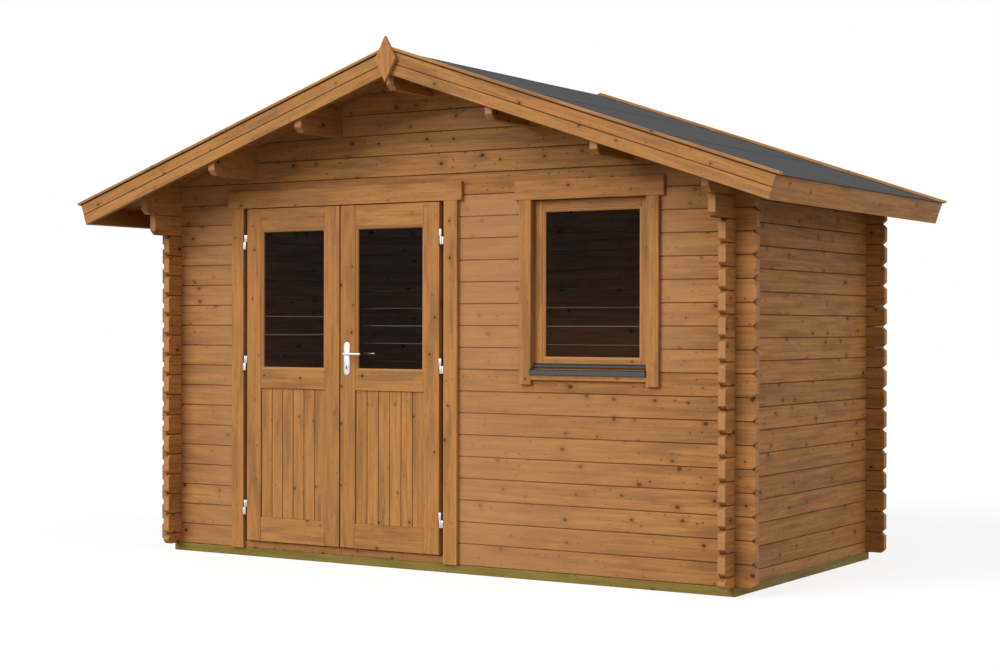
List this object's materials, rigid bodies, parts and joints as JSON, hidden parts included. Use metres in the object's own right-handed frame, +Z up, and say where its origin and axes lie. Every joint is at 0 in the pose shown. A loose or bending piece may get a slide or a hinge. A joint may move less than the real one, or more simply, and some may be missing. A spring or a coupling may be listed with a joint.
{
  "type": "garden shed",
  "caption": "Garden cabin of interlocking logs with a gable roof, a glazed double door and a window in its front, on a treated timber base.",
  "frame": {"origin": "on the ground, under the middle of the walls", "axes": "+X along the front from left to right, +Y from the front into the building, +Z up"},
  "size_m": [4.3776, 2.329, 2.8033],
  "materials": {
    "stained_wood": "golden-brown stained spruce, satin",
    "roof_wood": "stained spruce boards and purlins, satin",
    "treated_wood": "pressure-treated spruce, greenish, matt",
    "floor_wood": "untreated spruce boards, matt",
    "felt": "mineral-surfaced bitumen felt, matt",
    "glass": "clear glass",
    "steel": "satin",
    "dark_metal": "anthracite powder coat, satin"
  },
  "bodies": {
    "cabin": {"long_base_beams": "treated_wood", "side_base_beams": "treated_wood", "floor_bearers": "treated_wood", "floor": "floor_wood", "front_wall_left": "stained_wood", "front_wall_middle": "stained_wood", "front_wall_right": "stained_wood", "front_wall_below_window": "stained_wood", "front_gable": "stained_wood", "back_wall": "stained_wood", "back_gable": "stained_wood", "left_wall": "stained_wood", "right_wall": "stained_wood", "wall_plates": "stained_wood", "ridge_purlin": "roof_wood", "purlins": "roof_wood", "left_roof_boards": "roof_wood", "right_roof_boards": "roof_wood", "roof_felt": "felt", "left_bargeboards": "stained_wood", "right_bargeboards": "stained_wood", "left_verge_caps": "stained_wood", "right_verge_caps": "stained_wood", "finial": "stained_wood", "eaves_boards": "stained_wood", "door_jambs": "stained_wood", "door_head": "stained_wood", "threshold": "stained_wood", "side_casings": "stained_wood", "cross_casings": "stained_wood", "hinge_barrels": "steel", "window_frame": "stained_wood", "window_sash": "stained_wood", "window_glass": "glass", "window_sill": "dark_metal"},
    "left_door": {"left_door_frame": "stained_wood", "left_door_panel": "stained_wood", "left_door_glass": "glass", "left_hinge_knuckles": "steel"},
    "right_door": {"right_door_frame": "stained_wood", "right_door_panel": "stained_wood", "right_door_glass": "glass", "right_hinge_knuckles": "steel", "handle_plates": "steel"},
    "lever": {"door_lever": "steel"}
  },
  "joints": [
    {"name": "left_door_hinge", "type": "hinge", "parent": "cabin", "child": "left_door", "pos_m": [-1.2475, -0.909, 1.096], "axis": [0, 0, -1], "range_deg": [0, 110]},
    {"name": "right_door_hinge", "type": "hinge", "parent": "cabin", "child": "right_door", "pos_m": [0.0875, -0.909, 1.096], "axis": [0, 0, 1], "range_deg": [0, 110]},
    {"name": "lever_turn", "type": "hinge", "parent": "right_door", "child": "lever", "pos_m": [-0.53, -0.907, 1.156], "axis": [0, 1, 0], "range_deg": [0, 40], "stiffness_Nm_per_rad": 2, "springref_deg": -28.65}
  ]
}
